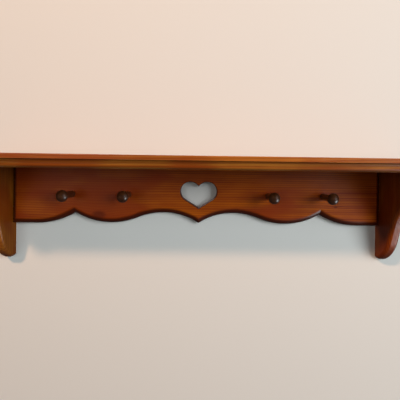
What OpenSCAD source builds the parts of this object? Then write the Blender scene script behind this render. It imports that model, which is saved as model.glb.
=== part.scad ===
// Country wall shelf. A moulded top board stands on two shaped side brackets, and a scalloped
// backboard with a heart cut-out closes the space between them and carries four turned pegs.
// +X is to the right seen from the room, +Y points into the wall and +Z is up. The origin is on
// the wall plane, halfway along the shelf, level with the underside of the top board.

/* [Top board] */
// Length of the top board, end to end
shelf_l = 800; // [660:5:1200]
// Depth of the top board from the wall to its front edge
shelf_d = 184; // [150:1:240]
// Thickness of the top board
shelf_t = 20; // [16:0.5:28]
// How far the top board runs past each bracket
end_overhang = 30; // [18:1:60]
// How far the top board runs past the noses of the brackets
front_overhang = 34; // [20:1:50]
// Height of the plain lip at the top of the moulded edge
lip_h = 7; // [5:0.5:7]
// Depth of the small step under the lip
lip_step = 1.5; // [1:0.5:3]
// Radius of the hollow part of the moulding
cove_r = 6; // [4:0.5:6]
// Radius of the rounded part of the moulding
bead_r = 6.5; // [4:0.5:6.5]
// Radius of the eased top edge
top_ease_r = 1.5; // [1:0.25:3]

/* [Brackets] */
// Thickness of each bracket
side_t = 20; // [16:1:28]
// Height of a bracket under the top board
side_h = 171; // [158:1:230]
// Depth of the bracket where its hollow curve begins
throat_d = 56.5; // [46:0.5:66]
// Height of that point above the bottom edge
throat_up = 67; // [67:1:83]
// Radius of the hollow curve that runs up to the nose
hollow_r = 125; // [115:1:140]
// Length of the straight stretch below the hollow curve
straight_l = 29; // [20:1:34]
// Radius of the full curve that runs down to the foot
full_r = 70; // [62:1:80]
// Radius of the rounded front edges of the brackets
side_round_r = 7; // [3:0.5:8]

/* [Backboard] */
// Thickness of the backboard
back_t = 20; // [18:1:26]
// Height of the backboard at its ends
back_h = 105.5; // [86:0.5:130]
// Radius of the rounded front edge of the backboard
back_round_r = 12.5; // [3:0.5:13]
// Distance of the arch tops from the middle
arch_x = 66; // [55:1:80]
// Height of the arch tops above the lower edge
arch_rise = 22; // [16:1:28]
// Height of the middle point above the lower edge
point_rise = 2; // [0:0.5:4]
// Distance of the lobe bottoms from the middle
lobe_x = 166; // [140:1:176]
// Height of the lobe bottoms above the lower edge
lobe_rise = 2; // [0:0.5:4]
// Distance from the middle at which the straight ends of the lower edge begin
end_x = 305.5; // [292:0.5:316]
// Radius of the curve from each cusp to the straight end
end_curve_r = 135; // [115:1:150]

/* [Heart cut-out] */
// Radius of the two upper lobes of the heart
heart_r = 18.5; // [16:0.25:20]
// Half the distance between the lobe centres
heart_half = 16; // [13:0.5:17]
// Distance of the lobe centres below the top board
heart_z = 42.5; // [36:0.5:48]
// Radius of the eased edge of the heart
heart_ease_r = 1.5; // [1:0.25:2.5]

/* [Pegs] */
// Distance of the inner pegs from the middle
peg_inner_x = 133; // [110:1:155]
// Distance of the outer pegs from the middle
peg_outer_x = 237.5; // [222:0.5:255]
// Distance of the pegs below the top board
peg_z = 49.5; // [40:0.5:58]
// Length of a peg in front of the backboard
peg_l = 56; // [46:1:75]
// Radius of a peg at its shoulder
peg_base_r = 6.3; // [5.5:0.1:8]
// Radius of a peg at its neck
peg_neck_r = 5.6; // [4.5:0.1:7]
// Radius of a peg's head
peg_head_r = 10.5; // [9:0.1:14]
// Radius of the rim of a peg's head
peg_rim_r = 1.6; // [1:0.1:2.2]
// Radius of the hollow under a peg's head
peg_hollow_r = 8; // [6:0.5:10]
// Radius of the tenon that is glued into the backboard
tenon_r = 5; // [4:0.1:5.4]
// Length of the tenon
tenon_l = 15; // [12:1:16]

/* [Screws and plugs] */
// Radius of the wood screws
screw_r = 2; // [1.5:0.1:2.5]
// Radius of a screw's head
screw_head_r = 4; // [3.4:0.1:4.6]
// Length of a wood screw with its head
screw_l = 45; // [34:1:50]
// Radius of the wooden plugs over the screws
plug_r = 4.75; // [4.6:0.05:6]
// Depth of the bores for the plugs
plug_l = 6; // [4:0.5:8]
// Gap round a screw where it only passes through
pass_gap = 0.25; // [0.1:0.05:0.5]
// Distance of the rear bracket screws from the wall
rear_screw_y = 35; // [28:1:45]
// Distance of the front bracket screws from the wall
front_screw_y = 100; // [80:1:108]
// Distance of the two inner backboard screws from the middle
inner_screw_x = 90; // [70:1:110]
// Distance of the two outer backboard screws from the middle
outer_screw_x = 270; // [262:1:275]
// Distance of the upper side screws below the top board
side_screw_top = 25; // [18:1:35]
// Distance between the two screws in each side
side_screw_gap = 50; // [40:1:60]

/* [Wall hangers] */
// Distance between the two keyhole hangers, the usual spacing of wall studs
hanger_gap = 406.4; // [380:0.2:420]
// Length of a hanger plate
hanger_l = 50; // [46:1:56]
// Width of a hanger plate
hanger_w = 16; // [14:0.5:20]
// Thickness of a hanger plate
hanger_t = 1.6; // [1.2:0.1:2]
// Distance of a hanger's middle below the top board
hanger_z = 30; // [28:1:36]
// Radius of the hole that a wall screw's head goes in by
entry_r = 5.25; // [4.5:0.25:5.5]
// Radius of the slot that the wall screw slides up into
slot_r = 2.6; // [2:0.1:3]
// Distance from the entry hole up to the end of the slot
slot_rise = 16; // [14:1:18]
// Depth of the pocket for the wall screw's head, under the plate
pocket_depth = 8; // [6:0.5:9]
// Radius of the pocket's ends
pocket_r = 6; // [5.75:0.25:6.5]
// Distance between the two screws of a hanger
hanger_screw_gap = 42; // [40:1:44]
// Radius of a hanger screw
hanger_screw_r = 1.5; // [1.2:0.1:1.8]
// Radius of a hanger screw's head
hanger_head_r = 2.9; // [2.5:0.1:3.2]
// Length of a hanger screw
hanger_screw_l = 13; // [10:1:15]
// Gap between a hanger plate and its recess
recess_gap = 0.2; // [0.1:0.05:0.4]

/* [Hidden] */
$fn = 96;
pine = "#8a4a1c";
pine_dark = "#6f3a16";
peg_brown = "#4a2a1c";
steel = "#b8b8b4";

// Overrun of a cutter past the surface that it opens
over = 1;
// The centre of a rounded edge lies this share of its radius inside the piece, so that the
// rounding starts and ends with the fine arris that a router leaves
arris = 0.985;

// Widths and heights that follow from the driving sizes
outer_w = shelf_l - 2 * end_overhang;
inner_w = outer_w - 2 * side_t;
low = -back_h;
arch_top = low + arch_rise;
point_low = low + point_rise;
lobe_low = low + lobe_rise;

// The arch and the lobe share one radius, so that they meet in a smooth S-curve
s_run = lobe_x - arch_x;
s_fall = arch_top - lobe_low;
s_r = (s_run * s_run + s_fall * s_fall) / (4 * s_fall);
arch_cz = arch_top - s_r;
lobe_cz = lobe_low + s_r;

// The inner side of each arch falls to the middle point
point_fall = arch_top - point_low;
point_r = (arch_x * arch_x + point_fall * point_fall) / (2 * point_fall);
point_cz = arch_top - point_r;

// The end curve runs out level into the straight lower edge; the cusp is where it meets the lobe
end_cz = low + end_curve_r;

// The heart's flanks rise 336 for every 527 that they go out, and touch the lobes
flank = [527, 336] / 625;
flank_out = [flank[1], -flank[0]];
heart_c = [heart_half, -heart_z];
heart_side = heart_c + heart_r * flank_out;
heart_tip = [0, heart_side[1] - heart_side[0] * flank[1] / flank[0]];

// The bracket's outline: an upright nose, a hollow curve, a straight stretch that rises 117 for
// every 44 that it comes forward, a full curve and a flat foot
side_d = shelf_d - front_overhang;
lean = [44, 117] / 125;
out_dir = [lean[1], -lean[0]];
throat = [throat_d, throat_up - side_h];
hip = throat - straight_l * lean;
hollow_c = throat + hollow_r * out_dir;
full_c = hip - full_r * out_dir;
nose_z = hollow_c[1] + sqrt(hollow_r * hollow_r - pow(side_d - hollow_c[0], 2));
foot_x = full_c[0] + sqrt(full_r * full_r - pow(side_h + full_c[1], 2));

// Peg head: the hollow, the rim and the dome touch each other without a corner
rim_x = peg_head_r - peg_rim_r;
hollow_x = peg_neck_r + peg_hollow_r;
hollow_h = sqrt(pow(peg_hollow_r + peg_rim_r, 2) - pow(hollow_x - rim_x, 2));
dome_h = 8.6;
rim_z = peg_l - dome_h;
hollow_z = rim_z - hollow_h;
dome_r = (rim_x * rim_x + dome_h * dome_h - peg_rim_r * peg_rim_r) / (2 * (dome_h - peg_rim_r));

// Angle of a direction in the plane, in degrees
function dir(v) = atan2(v[1], v[0]);

// Section of a rounded edge with its corner at the origin. side is 1 where the piece lies at +x
// and -1 where it lies at -x; up is 1 on an upper face and -1 on a lower face
module round_section(r, side = 1, up = 1) {
  difference() {
    translate([side > 0 ? -over : -r, up > 0 ? -r : -over])
      square([r + over, r + over]);
    translate([side * arris * r, -up * arris * r])
      circle(r = r);
  }
}

// Rounds the edge over a straight line from a to b, with the piece on its left, at height h
module round_line(a, b, r, h, up = 1) {
  translate([a[0], a[1], h])
    rotate([0, 0, dir(b - a)])
      rotate([90, 0, 90])
        linear_extrude(height = norm(b - a))
          round_section(r, 1, up);
}

// Section of everything in front of a rounded edge, with the wall of the piece at x = 0 and its
// faces at heights 0 and t. deep is how far it reaches forward, and both rounds both faces
module front_section(r, t, side, deep, both) {
  translate([side > 0 ? -deep : 0, -2 * over])
    square([deep, t + 4 * over]);
  translate([0, t])
    round_section(r, side, 1);
  if (both)
    round_section(r, side, -1);
}

// Cutter for a hollow arc of radius bow about c, kept to the outline in within
module hollow_cut(c, bow, r, t, both, within) {
  intersection() {
    translate([c[0], c[1], 0])
      rotate_extrude()
        translate([bow, 0])
          front_section(r, t, 1, bow, both);
    translate([0, 0, -3 * over])
      linear_extrude(height = t + 6 * over)
        polygon(within);
  }
}

// Section of the moulding that is cut away under the lip, with the edge at x = 0
module moulding_section() {
  cove_z = shelf_t - lip_h - cove_r;
  inset = lip_step + cove_r + bead_r;
  translate([-over, cove_z])
    square([over + lip_step, cove_r]);
  intersection() {
    translate([lip_step, cove_z])
      circle(r = cove_r);
    translate([lip_step, cove_z])
      square([cove_r, cove_r]);
  }
  difference() {
    translate([-over, -over])
      square([over + inset, cove_z + over]);
    translate([inset, cove_z])
      circle(r = bead_r);
  }
}

// Both cuts along one edge of the top board
module edge_cutter(length) {
  rotate([90, 0, 90])
    linear_extrude(height = length) {
      moulding_section();
      translate([0, shelf_t])
        round_section(top_ease_r);
    }
}

// Wood screw with its head's top at the origin, pointing down
module wood_screw(r, head_r, length) {
  head_h = head_r - r;
  difference() {
    union() {
      translate([0, 0, -head_h])
        cylinder(r1 = r, r2 = head_r, h = head_h);
      translate([0, 0, 2 * r - length])
        cylinder(r = r, h = length - head_h - 2 * r);
      translate([0, 0, -length])
        cylinder(r1 = 0.3, r2 = r, h = 2 * r);
    }
    translate([-head_r * 0.55, -r * 0.22, -head_h * 0.6])
      cube([head_r * 1.1, r * 0.44, head_h]);
    translate([-r * 0.22, -head_r * 0.55, -head_h * 0.6])
      cube([r * 0.44, head_r * 1.1, head_h]);
  }
}

// Everything that a plugged screw removes: plug bore, countersink and the way through, then
// the exact shape of the screw in the piece that it holds
module screw_bore(pass) {
  head_h = screw_head_r - screw_r;
  translate([0, 0, -plug_l])
    cylinder(r = plug_r, h = plug_l + over);
  translate([0, 0, -plug_l - head_h])
    cylinder(r1 = screw_r, r2 = screw_head_r, h = head_h);
  translate([0, 0, -pass - over])
    cylinder(r = screw_r + pass_gap, h = pass + over - plug_l - head_h / 2);
}
module screw_pilot(pass) {
  tip = -plug_l - screw_l;
  translate([0, 0, tip + 2 * screw_r])
    cylinder(r = screw_r, h = -tip - 2 * screw_r - pass + over);
  translate([0, 0, tip])
    cylinder(r1 = 0.3, r2 = screw_r, h = 2 * screw_r);
}
module plugged_screw() {
  translate([0, 0, -plug_l])
    wood_screw(screw_r, screw_head_r, screw_l);
}
module plug() {
  ease = 0.4;
  translate([0, 0, -plug_l])
    cylinder(r = plug_r, h = plug_l - ease);
  translate([0, 0, -ease])
    cylinder(r1 = plug_r, r2 = plug_r - ease, h = ease);
}

// Places of the screws that come down through the top board
module at_side_tops(s) {
  for (y = [rear_screw_y, front_screw_y])
    translate([s * (outer_w - side_t) / 2, -y, shelf_t])
      children();
}
module at_back_tops() {
  for (x = [-outer_screw_x, -inner_screw_x, inner_screw_x, outer_screw_x])
    translate([x, -back_t / 2, shelf_t])
      children();
}
// Places of the screws that go through a bracket into the end of the backboard
module at_sides(s) {
  for (k = [0, 1])
    translate([s * outer_w / 2, -back_t / 2, -side_screw_top - k * side_screw_gap])
      rotate([0, s * 90, 0])
        children();
}
// Places of the two hangers, looking at the back of the backboard
module at_hanger(s) {
  translate([s * hanger_gap / 2, 0, -hanger_z])
    rotate([-90, 0, 0])
      mirror([0, 1, 0])
        children();
}
module at_hanger_screws() {
  for (k = [-1, 1])
    translate([0, k * hanger_screw_gap / 2, 0])
      children();
}

// What is sawn off the right half of the lower edge, with its rounded front: the inner and the
// outer side of the arch, then everything below the lobe and the end curve
module cut_point() {
  hollow_cut([arch_x, point_cz], point_r, back_round_r, back_t, false,
    [[0, low - 3 * over], [arch_x, low - 3 * over], [arch_x, -back_round_r], [0, -back_round_r]]);
}
module cut_arch() {
  hollow_cut([arch_x, arch_cz], s_r, back_round_r, back_t, false,
    [[arch_x, arch_cz], [lobe_x, lobe_cz], [arch_x, lobe_cz]]);
}
module full_disc(c, bow) {
  translate([c[0], c[1], 0])
    rotate_extrude()
      difference() {
        translate([0, -0.75 * over])
          square([bow, back_t + 1.5 * over]);
        translate([bow, back_t])
          round_section(back_round_r, -1, 1);
      }
}
module cut_lobes() {
  difference() {
    translate([0, 0, -over / 2])
      linear_extrude(height = back_t + over)
        polygon([[lobe_x, lobe_cz], [end_x, end_cz], [end_x, arch_cz], [arch_x, arch_cz]]);
    full_disc([lobe_x, lobe_cz], s_r);
    full_disc([end_x, end_cz], end_curve_r);
  }
}
module round_low() {
  round_line([end_x, low], [inner_w / 2 + over, low], back_round_r, back_t);
}
module round_side() {
  round_line([inner_w / 2, low - over], [inner_w / 2, over], back_round_r, back_t);
}

// Outline of the heart, point down
module heart_outline() {
  translate(heart_c)
    circle(r = heart_r);
  translate([-heart_half, -heart_z])
    circle(r = heart_r);
  polygon([heart_tip, heart_side, heart_c, [-heart_half, -heart_z], [-heart_side[0], heart_side[1]]]);
}
// Cutters that ease the front edge of the heart, each over the right half
module ease_lobe() {
  past_side = heart_c + 2 * heart_r * flank_out;
  intersection() {
    translate([heart_c[0], heart_c[1], 0])
      rotate_extrude()
        translate([heart_r, 0])
          translate([0, back_t])
            round_section(heart_ease_r, 1, 1);
    translate([0, 0, -over])
      linear_extrude(height = back_t + 3 * over)
        polygon([heart_c, past_side, [3 * heart_r, past_side[1]], [3 * heart_r, -over], [0, -over],
          [0, -heart_z]]);
  }
}
module ease_flank() {
  intersection() {
    round_line(heart_side, heart_side - 50 * flank, heart_ease_r, back_t);
    translate([0, -back_h, 0])
      cube([2 * heart_r + heart_half, back_h, back_t + 2 * over]);
  }
}

// Everything in front of a bracket's curved edge, with both arrises rounded, seen with x as the
// distance from the wall and y up: below the nose, below the throat and round the full curve
module cut_hollow() {
  behind = hollow_c - 1.25 * hollow_r * out_dir;
  beyond = hollow_c + hollow_r * out_dir;
  hollow_cut(hollow_c, hollow_r, side_round_r, side_t, true,
    [behind, beyond, [beyond[0], 3 * over], [behind[0], 3 * over]]);
}
module cut_straight() {
  translate([hip[0], hip[1], 0])
    rotate([0, 0, dir(lean)])
      rotate([90, 0, 90])
        linear_extrude(height = straight_l)
          front_section(side_round_r, side_t, 1, 1.5 * side_d, true);
}
module cut_full() {
  beyond = full_c + 6 * full_r * out_dir;
  intersection() {
    translate([full_c[0], full_c[1], 0])
      rotate_extrude()
        translate([full_r, 0])
          front_section(side_round_r, side_t, -1, 1.5 * side_d, true);
    translate([0, 0, -3 * over])
      linear_extrude(height = side_t + 6 * over)
        polygon([full_c, beyond, [full_c[0], beyond[1]]]);
  }
}
// Cutters that round one face's edge down the nose and along the foot
module round_nose(h, up) {
  round_line([side_d, nose_z - side_round_r - over], [side_d, over], side_round_r, h, up);
}
module round_foot(h, up) {
  round_line([-over, -side_h], [foot_x + side_round_r + over, -side_h], side_round_r, h, up);
}
// The right bracket before it is bored
module bracket_blank() {
  translate([outer_w / 2, 0, 0])
    rotate([90, 0, -90])
      difference() {
        translate([0, -side_h, 0])
          cube([side_d, side_h, side_t]);
        cut_hollow();
        cut_straight();
        cut_full();
        round_nose(side_t, 1);
        round_foot(side_t, 1);
        round_nose(0, -1);
        round_foot(0, -1);
      }
}
module bracket(s) {
  difference() {
    if (s > 0)
      bracket_blank();
    else
      mirror([1, 0, 0])
        bracket_blank();
    at_side_tops(s)
      screw_pilot(shelf_t);
    at_sides(s)
      screw_bore(side_t);
  }
}

// Turned peg, pointing up from its shoulder
module peg() {
  rotate_extrude() {
    translate([0, -tenon_l])
      square([tenon_r, tenon_l + over]);
    polygon([[0, 0], [peg_base_r, 0], [peg_neck_r, hollow_z], [0, hollow_z]]);
    difference() {
      polygon([[0, hollow_z], [hollow_x, hollow_z], [rim_x, rim_z], [0, rim_z]]);
      translate([hollow_x, hollow_z])
        circle(r = peg_hollow_r);
    }
    translate([rim_x, rim_z])
      circle(r = peg_rim_r);
    intersection() {
      translate([0, peg_l - dome_r])
        circle(r = dome_r);
      polygon([[0, rim_z - 0.01], [rim_x, rim_z - 0.01],
        [rim_x * 2, rim_z - 0.01 + (rim_z - peg_l + dome_r)], [rim_x * 2, peg_l + over],
        [0, peg_l + over]]);
    }
  }
}
module place_peg(x) {
  color(peg_brown)
    translate([x, -back_t, -peg_z])
      rotate([90, 0, 0])
        peg();
}

// Keyhole plate lying on its outer face, with its slot running up
module slot_shape(r, from, to) {
  translate([-r, from])
    square([2 * r, to - from]);
  translate([0, from])
    circle(r = r);
  translate([0, to])
    circle(r = r);
}
module hanger() {
  straight = hanger_l - hanger_w;
  difference() {
    translate([0, 0, -hanger_t])
      linear_extrude(height = hanger_t)
        slot_shape(hanger_w / 2, -straight / 2, straight / 2);
    translate([0, -slot_rise / 2, -hanger_t - over])
      cylinder(r = entry_r, h = hanger_t + 2 * over);
    translate([0, 0, -hanger_t - over])
      linear_extrude(height = hanger_t + 2 * over)
        slot_shape(slot_r, -slot_rise / 2, slot_rise / 2);
    at_hanger_screws()
      hanger_screw_bore(0);
  }
}
module hanger_screw_bore(gap) {
  head_h = hanger_head_r - hanger_screw_r;
  translate([0, 0, -head_h])
    cylinder(r1 = hanger_screw_r, r2 = hanger_head_r, h = head_h);
  translate([0, 0, -hanger_t - over])
    cylinder(r = hanger_screw_r + gap, h = hanger_t + over);
}
module hanger_recess() {
  straight = hanger_l - hanger_w;
  translate([0, 0, -hanger_t])
    linear_extrude(height = hanger_t + over)
      slot_shape(hanger_w / 2 + recess_gap, -straight / 2, straight / 2);
  translate([0, 0, -hanger_t - pocket_depth])
    linear_extrude(height = pocket_depth + over)
      slot_shape(pocket_r, -slot_rise / 2, slot_rise / 2);
  at_hanger_screws() {
    translate([0, 0, 2 * hanger_screw_r - hanger_screw_l])
      cylinder(r = hanger_screw_r, h = hanger_screw_l - 2 * hanger_screw_r);
    translate([0, 0, -hanger_screw_l])
      cylinder(r1 = 0.3, r2 = hanger_screw_r, h = 2 * hanger_screw_r);
  }
}

module shelf_board() {
  color(pine)
    difference() {
      translate([-shelf_l / 2, -shelf_d, 0])
        cube([shelf_l, shelf_d, shelf_t]);
      translate([-shelf_l / 2 - over, -shelf_d, 0])
        edge_cutter(shelf_l + 2 * over);
      translate([shelf_l / 2, -shelf_d - over, 0])
        rotate([0, 0, 90])
          edge_cutter(shelf_d + 2 * over);
      translate([-shelf_l / 2, over, 0])
        rotate([0, 0, -90])
          edge_cutter(shelf_d + 2 * over);
      for (s = [-1, 1])
        at_side_tops(s)
          screw_bore(shelf_t);
      at_back_tops()
        screw_bore(shelf_t);
    }
}

module backboard() {
  color(pine)
    difference() {
      rotate([90, 0, 0])
        difference() {
          translate([-inner_w / 2, low, 0])
            cube([inner_w, back_h, back_t]);
          translate([0, 0, -over])
            linear_extrude(height = back_t + 2 * over)
              heart_outline();
          cut_point();
          cut_arch();
          cut_lobes();
          round_low();
          round_side();
          ease_lobe();
          ease_flank();
          mirror([1, 0, 0]) cut_point();
          mirror([1, 0, 0]) cut_arch();
          mirror([1, 0, 0]) cut_lobes();
          mirror([1, 0, 0]) round_low();
          mirror([1, 0, 0]) round_side();
          mirror([1, 0, 0]) ease_lobe();
          mirror([1, 0, 0]) ease_flank();
        }
      for (x = [-peg_outer_x, -peg_inner_x, peg_inner_x, peg_outer_x])
        translate([x, -back_t - over, -peg_z])
          rotate([-90, 0, 0])
            cylinder(r = tenon_r, h = tenon_l + over);
      at_back_tops()
        screw_pilot(shelf_t);
      for (s = [-1, 1]) {
        at_sides(s)
          screw_pilot(side_t);
        at_hanger(s)
          hanger_recess();
      }
    }
}

module left_bracket() { color(pine_dark) bracket(-1); }
module right_bracket() { color(pine_dark) bracket(1); }

module peg_outer_left() { place_peg(-peg_outer_x); }
module peg_inner_left() { place_peg(-peg_inner_x); }
module peg_inner_right() { place_peg(peg_inner_x); }
module peg_outer_right() { place_peg(peg_outer_x); }

module shelf_screws_left() { color(steel) at_side_tops(-1) plugged_screw(); }
module shelf_screws_right() { color(steel) at_side_tops(1) plugged_screw(); }
module shelf_screws_back() { color(steel) at_back_tops() plugged_screw(); }
module shelf_plugs_left() { color(pine_dark) at_side_tops(-1) plug(); }
module shelf_plugs_right() { color(pine_dark) at_side_tops(1) plug(); }
module shelf_plugs_back() { color(pine_dark) at_back_tops() plug(); }
module side_screws_left() { color(steel) at_sides(-1) plugged_screw(); }
module side_screws_right() { color(steel) at_sides(1) plugged_screw(); }
module side_plugs_left() { color(pine) at_sides(-1) plug(); }
module side_plugs_right() { color(pine) at_sides(1) plug(); }

module hanger_left() { color(steel) at_hanger(-1) hanger(); }
module hanger_right() { color(steel) at_hanger(1) hanger(); }
module hanger_screws_left() { color(steel) at_hanger(-1) hanger_screws(); }
module hanger_screws_right() { color(steel) at_hanger(1) hanger_screws(); }
module hanger_screws() {
  at_hanger_screws()
    wood_screw(hanger_screw_r, hanger_head_r, hanger_screw_l);
}

shelf_board();
backboard();
left_bracket();
right_bracket();
peg_outer_left();
peg_inner_left();
peg_inner_right();
peg_outer_right();
shelf_screws_left();
shelf_screws_right();
shelf_screws_back();
shelf_plugs_left();
shelf_plugs_right();
shelf_plugs_back();
side_screws_left();
side_screws_right();
side_plugs_left();
side_plugs_right();
hanger_left();
hanger_right();
hanger_screws_left();
hanger_screws_right();
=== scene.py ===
"""Looks for the country wall shelf: stained pine boards, dark turned pegs, zinc-plated hangers."""
import math

import bmesh
import bpy
from mathutils import Matrix, Vector

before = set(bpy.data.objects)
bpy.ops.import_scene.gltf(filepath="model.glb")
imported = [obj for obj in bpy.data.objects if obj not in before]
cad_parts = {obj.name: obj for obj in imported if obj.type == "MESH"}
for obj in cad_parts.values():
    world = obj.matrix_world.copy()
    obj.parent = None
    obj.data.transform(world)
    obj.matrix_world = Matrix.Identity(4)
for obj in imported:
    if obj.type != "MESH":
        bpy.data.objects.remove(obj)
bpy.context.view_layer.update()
scene = bpy.context.scene


# Shader maths ---------------------------------------------------------------------------------

class Flow:
    """One output of a node. Arithmetic on it adds Math nodes to its tree."""

    def __init__(self, socket):
        self.socket = socket

    def maths(self, operation, *values):
        """A Math node on values, which are numbers or flows."""
        node = self.socket.id_data.nodes.new("ShaderNodeMath")
        node.operation = operation
        for slot, value in zip(node.inputs, values):
            plug(slot, value)
        return Flow(node.outputs[0])

    def __add__(self, other):
        return self.maths("ADD", self, other)

    def __sub__(self, other):
        return self.maths("SUBTRACT", self, other)

    def __rsub__(self, other):
        return self.maths("SUBTRACT", other, self)

    def __mul__(self, other):
        return self.maths("MULTIPLY", self, other)

    def __truediv__(self, other):
        return self.maths("DIVIDE", self, other)

    def __rtruediv__(self, other):
        return self.maths("DIVIDE", other, self)

    __radd__ = __add__
    __rmul__ = __mul__

    def size(self):
        return self.maths("ABSOLUTE", self)

    def root(self):
        return self.maths("SQRT", self)

    def part(self):
        return self.maths("FRACT", self)

    def power_of_e(self):
        return self.maths("EXPONENT", self)

    def at_least(self, other):
        return self.maths("MAXIMUM", self, other)


def plug(slot, value):
    """Sets an input, or links it to a flow."""
    if isinstance(value, Flow):
        slot.id_data.links.new(value.socket, slot)
    elif hasattr(value, "__len__") and len(value) == 3 and slot.type == "RGBA":
        slot.default_value = (*value, 1)
    else:
        slot.default_value = value


class Finish:
    """A material being built, with its Principled shader in self.skin."""

    def __init__(self, name):
        self.material = bpy.data.materials.new(name)
        self.material.use_nodes = True
        self.tree = self.material.node_tree
        self.skin = self.tree.nodes["Principled BSDF"]

    def node(self, kind, settings=None, values=None, out=0):
        """A node of that type, its settings first, then its inputs; returns one of its outputs."""
        made = self.tree.nodes.new("ShaderNode" + kind)
        for name, value in (settings or {}).items():
            if name == "stops":
                ramp = made.color_ramp
                while len(ramp.elements) < len(value):
                    ramp.elements.new(0.5)
                for stop, (place, colour) in zip(ramp.elements, value):
                    stop.position = place
                    stop.color = (*colour, 1)
            else:
                setattr(made, name, value)
        for name, value in (values or {}).items():
            plug(made.inputs[name], value)
        return Flow(made.outputs[out])

    def place(self, turn=(0, 0, 0)):
        """Object coordinates, turned."""
        raw = self.node("TexCoord", out="Object")
        return self.node("Mapping", {"vector_type": "POINT"}, {"Vector": raw, "Rotation": turn})

    def stretched(self, vector, stretch):
        """The vector with each axis multiplied."""
        return self.node("VectorMath", {"operation": "MULTIPLY"}, {0: vector, 1: stretch})

    def shifted(self, vector, shift):
        """The vector moved, to reach another part of a noise."""
        return self.node("VectorMath", {"operation": "ADD"}, {0: vector, 1: shift})

    def axes(self, vector):
        """Its X, Y and Z, as three flows."""
        split = self.tree.nodes.new("ShaderNodeSeparateXYZ")
        plug(split.inputs[0], vector)
        return [Flow(out) for out in split.outputs]

    def noise(self, vector, scale, detail=2.0, rough=0.5):
        return self.node("TexNoise", {"noise_dimensions": "3D"},
                         {"Vector": vector, "Scale": scale, "Detail": detail, "Roughness": rough})

    def step(self, value, low, high):
        """0 below low, 1 above high, smooth between."""
        return self.node("MapRange", {"interpolation_type": "SMOOTHSTEP"},
                         {"Value": value, "From Min": low, "From Max": high})

    def ramp(self, value, *stops):
        """A colour by value; each stop is a position and a colour."""
        return self.node("ValToRGB", {"stops": stops}, {"Fac": value})

    def blend(self, first, second, share):
        """The first colour, and the second where share is 1."""
        mixed = self.tree.nodes.new("ShaderNodeMix")
        mixed.data_type = "RGBA"
        plug(mixed.inputs[0], share)
        plug(mixed.inputs[6], first)
        plug(mixed.inputs[7], second)
        return Flow(mixed.outputs[2])

    def turned_from_y(self):
        """0 where the surface faces along Y, 1 where it faces at right angles to Y."""
        geometry = self.tree.nodes.new("ShaderNodeNewGeometry")
        return 1 - self.axes(Flow(geometry.outputs["Normal"]))[1].size()

    def gloss(self, coat, coat_rough):
        """A clear coat that is the same all over."""
        self.skin.inputs["Coat Weight"].default_value = coat
        self.skin.inputs["Coat Roughness"].default_value = coat_rough

    def wear(self, **sockets):
        """Plugs values into the shader's inputs and returns the finished material."""
        for name, value in sockets.items():
            plug(self.skin.inputs[name.replace("_", " ")], value)
        return self.material


# Wood and steel -------------------------------------------------------------------------------

# Turns of the log: its pith runs along X unless the board stands up or the grain lies across
UPRIGHT = (0, math.pi / 2, 0)
ACROSS = (0, 0, math.pi / 2)
PITH_WANDER = 0.022
KNOT_STAIN = (0.085, 0.010, 0.002)
EDGE_SHADE = 0.3


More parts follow.
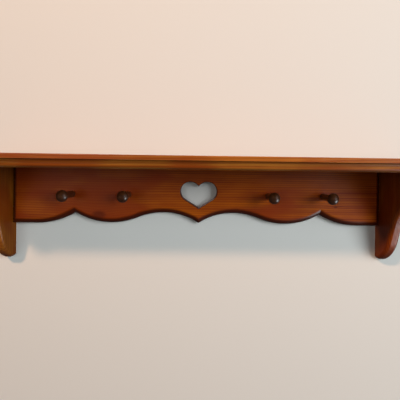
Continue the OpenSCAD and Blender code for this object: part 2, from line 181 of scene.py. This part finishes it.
def stained_pine(name, pith, seed, pale, deep, knots=(), turn=(0, 0, 0), spacing=0.0042,
                 contrast=1.0, redden=0.0, stain_and_shade_edge=0.0):
    """Pine sawn from a log whose pith runs along local X at pith, stained and varnished.

    The stain runs from pale to deep. Each knot is x, y, z and its size. Spacing is the width of a
    year's ring, redden makes the -X end redder, and stain_and_shade_edge darkens what doesn't face
    along Y:
    stain soaked into the end grain, together with painted shade on the rounded edges.
    """
    f = Finish(name)
    here = f.place(turn=turn)
    x, y, z = f.axes(here)

    # The pith wanders a little along the log, and the rings bulge round the knots
    slow = f.noise(f.shifted(f.stretched(here, (1.6, 6.0, 6.0)), seed), 1.0, 2.0)
    wander = (slow - 0.5) * PITH_WANDER
    swell, core = 0.0, 0.0
    for knot_x, knot_y, knot_z, size in knots:
        along = (x - knot_x) * 0.6
        over = z - knot_z
        inward = (y - knot_y) * 0.3
        away = (along * along + over * over + inward * inward).root()
        swell = (away * (-0.5 / size)).power_of_e() * (size * 0.9) + swell
        core = (1 - f.step(away, size * 0.25, size * 0.75)).at_least(core)

    # Each year's ring darkens slowly to its late wood and ends sharply
    depth = y - pith[0] + wander
    rise = z - pith[1] + wander * 0.5 + swell
    radius = (depth * depth + rise * rise).root()
    year = f.noise(f.stretched(here, (0.6, 30.0, 30.0)), 1.0, 1.0)
    rings = (radius / spacing + year * 1.6).part()
    late = f.step(rings, 0.25, 0.85) * (1 - f.step(rings, 0.88, 1.0))

    # Fibres and streaks along the log, and broad blotches where the stain went in unevenly
    fibre = f.noise(f.shifted(f.stretched(here, (16.0, 900.0, 900.0)), seed), 1.0, 3.0, 0.6)
    streak = f.noise(f.shifted(f.stretched(here, (3.0, 150.0, 150.0)), seed), 1.0, 3.0, 0.55)
    blotch = f.noise(f.shifted(f.stretched(here, (8.0, 15.0, 15.0)), seed), 1.0, 3.0, 0.5)
    tone = (late * 0.50 + (streak - 0.5) * 1.7 + (fibre - 0.5) * 0.9 + (blotch - 0.5) * 1.5
            - 0.18) * contrast + 0.5 + core * 0.35
    middle = [(a + b) / 2 for a, b in zip(pale, deep)]
    colour = f.ramp(tone, (0.0, pale), (0.5, middle), (1.0, deep))

    # Red patches, dark knots and, on the back board, rounded edges darkened partly by stain
    # soaked into the end grain and partly by painted shade
    red = (middle[0] * 0.76, middle[1] * 0.45, middle[2] * 0.3)
    patch = f.noise(f.shifted(f.stretched(here, (9.0, 20.0, 20.0)), (7.0, 3.0, 5.0)), 1.0, 2.0)
    colour = f.blend(colour, red, f.step(patch - x * redden, 0.46, 0.66) * 0.75)
    if knots:
        colour = f.blend(colour, KNOT_STAIN, core * 0.6)
    if stain_and_shade_edge:
        # Painted shade, with some end-grain stain: every face turned away from Y is made darker
        edge = f.step(f.turned_from_y(), 0.0, 0.12)
        colour = f.blend(colour, [c * EDGE_SHADE for c in deep], edge * stain_and_shade_edge)

    # Varnish that has sunk a little into the open grain
    rough = 0.36 + (streak - 0.5) * 0.18 + (fibre - 0.5) * 0.14 + late * 0.05
    bump = f.node("Bump", {}, {"Strength": 0.3, "Distance": 0.0004,
                               "Height": fibre * 0.6 + late * -0.3 + streak * 0.5})
    f.gloss(0.25, 0.24)
    f.skin.inputs["Specular IOR Level"].default_value = 0.3
    return f.wear(Base_Color=colour, Roughness=rough, Normal=bump)


def peg_stain():
    """Turned hardwood under a near-black brown stain, its grain along Y."""
    f = Finish("peg_stain")
    here = f.place()
    grain = f.noise(f.stretched(here, (420.0, 22.0, 420.0)), 1.0, 3.0, 0.6)
    cloud = f.noise(here, 70.0, 3.0, 0.6)
    tone = (grain - 0.5) * 1.3 + (cloud - 0.5) * 0.8 + 0.5
    colour = f.ramp(tone, (0.0, (0.020, 0.006, 0.002)), (0.5, (0.058, 0.017, 0.005)),
                    (1.0, (0.130, 0.046, 0.014)))
    rough = 0.34 + (grain - 0.5) * 0.25 + (cloud - 0.5) * 0.15
    bump = f.node("Bump", {}, {"Strength": 0.3, "Distance": 0.0004, "Height": grain})
    f.gloss(0.3, 0.25)
    return f.wear(Base_Color=colour, Roughness=rough, Normal=bump)


def plug_stain():
    """Round plugs cut from the same pine, their grain across the board's."""
    return stained_pine("plug_stain", (0.05, 0.02), (4.0, 1.0, 7.0), (0.26, 0.062, 0.006),
                        (0.12, 0.022, 0.002), spacing=0.003, turn=ACROSS)


def zinc(name, tint, rough):
    """Zinc-plated steel with a faint crystalline cloud and fine drawing lines."""
    f = Finish(name)
    here = f.place()
    cloud = f.noise(here, 240.0, 3.0, 0.6)
    line = f.noise(f.stretched(here, (1500.0, 1500.0, 60.0)), 1.0, 2.0, 0.5)
    tone = (cloud - 0.5) * 0.8 + (line - 0.5) * 0.5 + 0.5
    colour = f.ramp(tone, (0.0, [c * 0.72 for c in tint]), (1.0, tint))
    bump = f.node("Bump", {}, {"Strength": 0.15, "Distance": 0.0002, "Height": line})
    f.skin.inputs["Metallic"].default_value = 1.0
    return f.wear(Base_Color=colour, Roughness=rough + (cloud - 0.5) * 0.2, Normal=bump)


def dress(material, *nodes):
    """Puts the material on every slot of those CAD nodes."""
    for name in nodes:
        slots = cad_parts[name].data.materials
        if slots:
            for i in range(len(slots)):
                slots[i] = material
        else:
            slots.append(material)


dress(stained_pine("top_pine", (-0.10, 0.16), (1.0, 2.0, 3.0), (0.46, 0.150, 0.016),
                   (0.22, 0.048, 0.003),
                   knots=[(-0.215, -0.12, 0.02, 0.008), (0.13, -0.05, 0.02, 0.006)]),
      "shelf_board")
# The back board's stain is redder and almost without blue: partly painted shade, copying how the
# wood looks in the shelf's shadow
dress(stained_pine("shaded_back_pine", (0.030, -0.190), (5.0, 1.5, 2.0), (0.49, 0.104, 0.002),
                   (0.21, 0.023, 0.001), contrast=0.8, redden=0.45, stain_and_shade_edge=0.95,
                   knots=[(0.262, -0.02, -0.069, 0.0035), (-0.187, -0.02, -0.088, 0.014)]),
      "backboard")
dress(stained_pine("left_pine", (-0.55, 0.03), (2.0, 6.0, 1.0), (0.42, 0.130, 0.010),
                   (0.20, 0.040, 0.002), turn=UPRIGHT, contrast=0.8),
      "left_bracket")
# The right bracket's stain is darker and redder than the left's: painted shade, for its inner face
# turned away from the window
dress(stained_pine("shaded_right_pine", (0.55, -0.04), (8.0, 3.0, 4.0), (0.34, 0.070, 0.004),
                   (0.17, 0.024, 0.001), turn=UPRIGHT, contrast=0.8),
      "right_bracket")
dress(peg_stain(), "peg_outer_left", "peg_inner_left", "peg_inner_right", "peg_outer_right")
dress(plug_stain(), "shelf_plugs_left", "shelf_plugs_right", "shelf_plugs_back",
      "side_plugs_left", "side_plugs_right")
dress(zinc("hanger_zinc", (0.78, 0.78, 0.76), 0.34), "hanger_left", "hanger_right")
dress(zinc("screw_zinc", (0.72, 0.71, 0.66), 0.30),
      "shelf_screws_left", "shelf_screws_right", "shelf_screws_back",
      "side_screws_left", "side_screws_right", "hanger_screws_left", "hanger_screws_right")


# Room -----------------------------------------------------------------------------------------

def sheet_of(name, width, depth, matrix, material):
    """A flat rectangle for the wall or the floor, turned and placed by matrix."""
    mesh = bpy.data.meshes.new(name)
    form = bmesh.new()
    bmesh.ops.create_grid(form, x_segments=1, y_segments=1, size=0.5)
    bmesh.ops.scale(form, vec=(width, depth, 1), verts=form.verts)
    bmesh.ops.transform(form, matrix=matrix, verts=form.verts)
    form.to_mesh(mesh)
    form.free()
    mesh.materials.append(material)
    made = bpy.data.objects.new(name, mesh)
    scene.collection.objects.link(made)
    return made


def wall_paint():
    """Matt cream paint, clear from behind so that the back of the shelf can be seen."""
    f = Finish("wall_paint")
    roller = f.noise(f.place(), 160.0, 2.0, 0.6)
    bump = f.node("Bump", {}, {"Strength": 0.04, "Distance": 0.0006, "Height": roller})
    f.wear(Base_Color=(0.75, 0.75, 0.72), Roughness=0.85, Normal=bump)
    geometry = f.tree.nodes.new("ShaderNodeNewGeometry")
    clear = f.tree.nodes.new("ShaderNodeBsdfTransparent")
    switch = f.tree.nodes.new("ShaderNodeMixShader")
    end = f.tree.nodes["Material Output"]
    f.tree.links.new(geometry.outputs["Backfacing"], switch.inputs[0])
    f.tree.links.new(f.skin.outputs[0], switch.inputs[1])
    f.tree.links.new(clear.outputs[0], switch.inputs[2])
    f.tree.links.new(switch.outputs[0], end.inputs[0])
    return f.material


def floor_paint():
    """Plain matt paint."""
    return Finish("floor_paint").wear(Base_Color=(0.74, 0.72, 0.69), Roughness=0.8)


WALL_GAP = 0.0006
WALL_CENTRE_Z = 0.6
FLOOR_Z = -1.25
standing = Matrix.Translation((0, WALL_GAP, WALL_CENTRE_Z)) @ Matrix.Rotation(math.pi / 2, 4, "X")
wall = sheet_of("wall", 12, 8, standing, wall_paint())
wall.visible_shadow = False
wall.visible_transmission = False
floor = sheet_of("floor", 14, 14, Matrix.Translation((0, 0, FLOOR_Z)), floor_paint())

# Light that comes back off the wall and the floor would lay a haze on the stain
for backdrop in (wall, floor):
    backdrop.visible_diffuse = False
    backdrop.visible_glossy = False


def lamp(name, place, aim, width, height, power, colour, glossy=True, diffuse=True):
    """A soft rectangular light at place, facing aim. It shines, lights or does both."""
    data = bpy.data.lights.new(name, "AREA")
    data.shape = "RECTANGLE"
    data.size, data.size_y = width, height
    data.energy = power
    data.color = colour
    made = bpy.data.objects.new(name, data)
    made.location = place
    made.rotation_euler = (Vector(aim) - Vector(place)).to_track_quat("-Z", "Y").to_euler()
    made.visible_glossy = glossy
    made.visible_diffuse = diffuse
    scene.collection.objects.link(made)


# The lamp throws the shadow to the right; window and fill light the wood and leave no shine
lamp("ceiling_lamp", (-1.2, -2.0, 1.75), (1.5, 0, 0.6), 0.22, 0.22, 56, (1.0, 0.57, 0.34))
lamp("window", (1.45, -2.0, 0.5), (0, 0, -0.05), 1.3, 1.2, 41, (0.91, 0.975, 1.0),
     glossy=False)
lamp("left_fill", (-1.1, -2.3, 0.2), (0, 0, 0), 1.0, 1.0, 9, (1.0, 0.98, 0.94),
     glossy=False)

# Reflections only: the soft shine on the shelf's front edge and on the right bracket
lamp("window_glint", (1.72, -1.6, 0.35), (0.27, -0.17, 0), 0.7, 1.4, 8, (0.88, 0.95, 1.0),
     diffuse=False)
lamp("low_glint", (1.5, -0.6, -1.0), (0.36, -0.04, -0.15), 0.8, 0.8, 16, (0.86, 0.95, 1.0),
     diffuse=False)

# From behind the wall, which lets it through, for views of the back and the top
lamp("back_fill", (-0.4, 1.7, 1.6), (0, 0, -0.05), 1.2, 1.2, 30, (1.0, 0.98, 0.95))

AMBIENT = 0.05
world = bpy.data.worlds.new("room_light")
world.use_nodes = True
background = world.node_tree.nodes["Background"]
background.inputs["Color"].default_value = (0.86, 0.88, 0.90, 1)
background.inputs["Strength"].default_value = AMBIENT
scene.world = world
scene.view_settings.view_transform = "Standard"
scene.view_settings.look = "None"


# Camera ---------------------------------------------------------------------------------------

CAMERA_AT = (-0.0029, -0.6542, 0.0031)
CAMERA_TURN = math.radians(1.49)
CAMERA_TILT = math.radians(0.79)


def camera():
    """Level with the shelf, close in front of its middle, a hair turned and tilted."""
    data = bpy.data.cameras.new("camera")
    data.sensor_width = 36.0
    data.lens = 30.15
    data.shift_x = -0.0158
    data.shift_y = -0.0808
    data.clip_start = 0.01
    data.clip_end = 50.0
    ahead = Vector((math.sin(CAMERA_TURN), math.cos(CAMERA_TURN), 0))
    right = Vector((math.cos(CAMERA_TURN), -math.sin(CAMERA_TURN), 0))
    up = Vector((0, 0, 1))
    across = right * math.cos(CAMERA_TILT) + up * math.sin(CAMERA_TILT)
    over = up * math.cos(CAMERA_TILT) - right * math.sin(CAMERA_TILT)
    made = bpy.data.objects.new("camera", data)
    made.matrix_world = (Matrix.Translation(CAMERA_AT)
                         @ Matrix((across, over, -ahead)).transposed().to_4x4())
    scene.collection.objects.link(made)
    scene.camera = made


camera()
